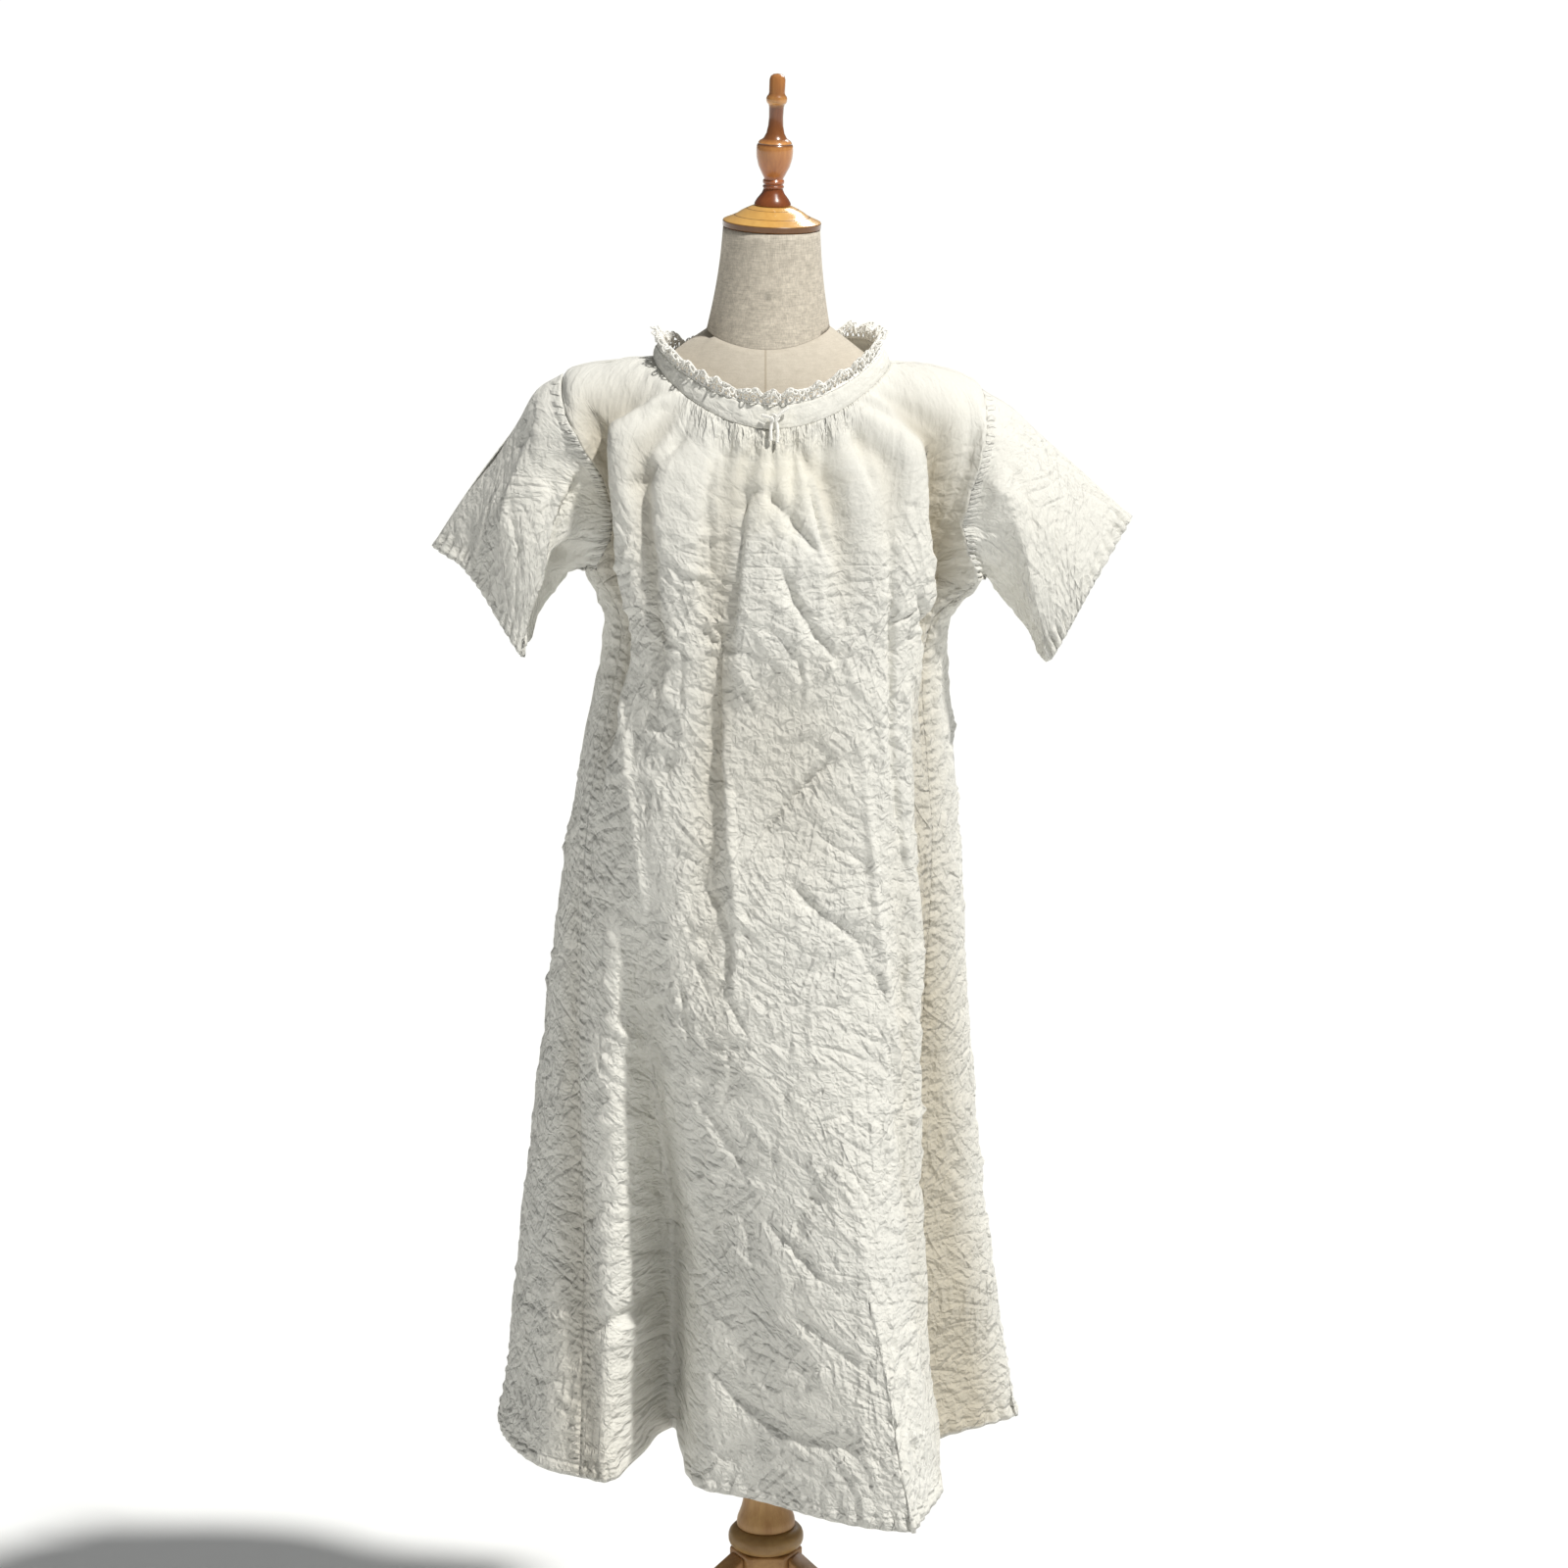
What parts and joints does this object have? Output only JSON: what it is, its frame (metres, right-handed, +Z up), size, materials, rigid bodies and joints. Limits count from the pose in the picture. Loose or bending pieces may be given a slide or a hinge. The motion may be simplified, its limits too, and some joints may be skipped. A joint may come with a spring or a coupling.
{
  "type": "lace-edged dress on a limbless dress form",
  "caption": "Gathered cotton-linen dress with short sleeves and a crocheted neck edging, worn by a limbless linen dress form on a turned wooden tripod stand.",
  "frame": {"origin": "centre of the bounding box in plan, on the floor under the feet", "axes": "+Z up along the stand's pole, -Y towards the front of the dress, +X towards the wearer's left"},
  "size_m": [0.6524, 0.4882, 1.6766],
  "materials": {
    "dress_cloth": "matte",
    "lace": "matte",
    "cord": "matte",
    "torso_linen": "matte",
    "neck_linen": "matte",
    "cap_wood": "satin",
    "finial_wood": "gloss",
    "pole_wood": "satin",
    "ring_wood": "satin",
    "stand_wood": "satin"
  },
  "bodies": {
    "root": {"dress_front": "dress_cloth", "dress_back": "dress_cloth", "gore_left": "dress_cloth", "gore_right": "dress_cloth", "sleeve_left": "dress_cloth", "sleeve_right": "dress_cloth", "neckband": "dress_cloth", "lace_edging": "lace", "drawstring_knot": "cord", "drawstring_end_right": "cord", "drawstring_end_left": "cord", "form_torso": "torso_linen", "form_neck": "neck_linen", "neck_cap": "cap_wood", "finial": "finial_wood", "pole": "pole_wood", "pole_ring": "ring_wood", "tripod_hub": "stand_wood", "leg_back": "stand_wood", "leg_right": "stand_wood", "leg_left": "stand_wood"}
  },
  "joints": []
}
